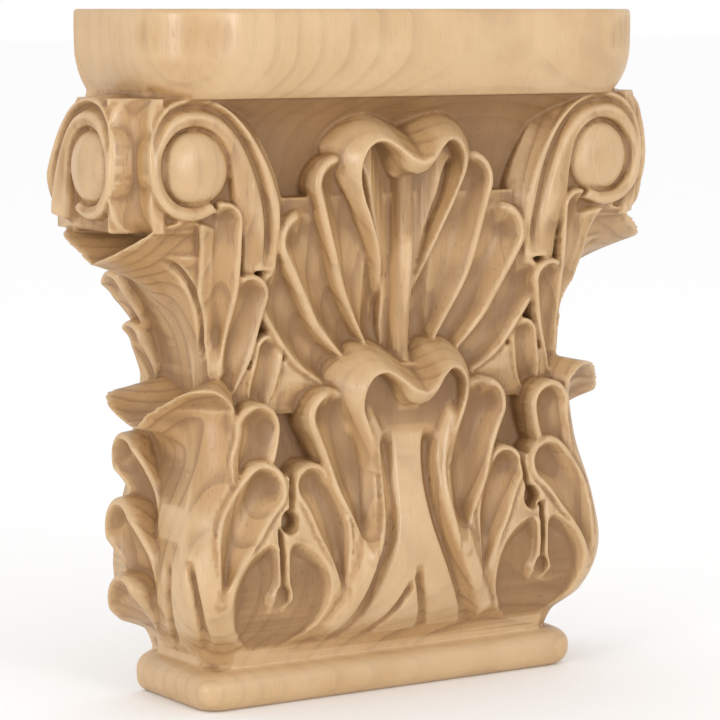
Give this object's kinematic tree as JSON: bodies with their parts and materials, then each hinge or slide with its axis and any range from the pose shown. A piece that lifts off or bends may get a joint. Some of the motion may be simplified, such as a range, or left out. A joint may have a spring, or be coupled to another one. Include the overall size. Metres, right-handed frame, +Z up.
{
  "type": "corinthian pilaster capital",
  "caption": "Carved wooden Corinthian capital for a flat pilaster, with acanthus leaves, corner scrolls, a flat back and a moulded abacus.",
  "frame": {"origin": "on the underside's level, below the middle of the whole capital's width and depth", "axes": "+Z up, -Y towards the carved front, +Y towards the wall, +X to the right seen from the front"},
  "size_m": [0.2182, 0.0654, 0.229],
  "materials": {
    "maple": "unfinished sanded maple, satin where cut across the grain"
  },
  "bodies": {
    "root": {"capital": "maple"}
  },
  "joints": []
}
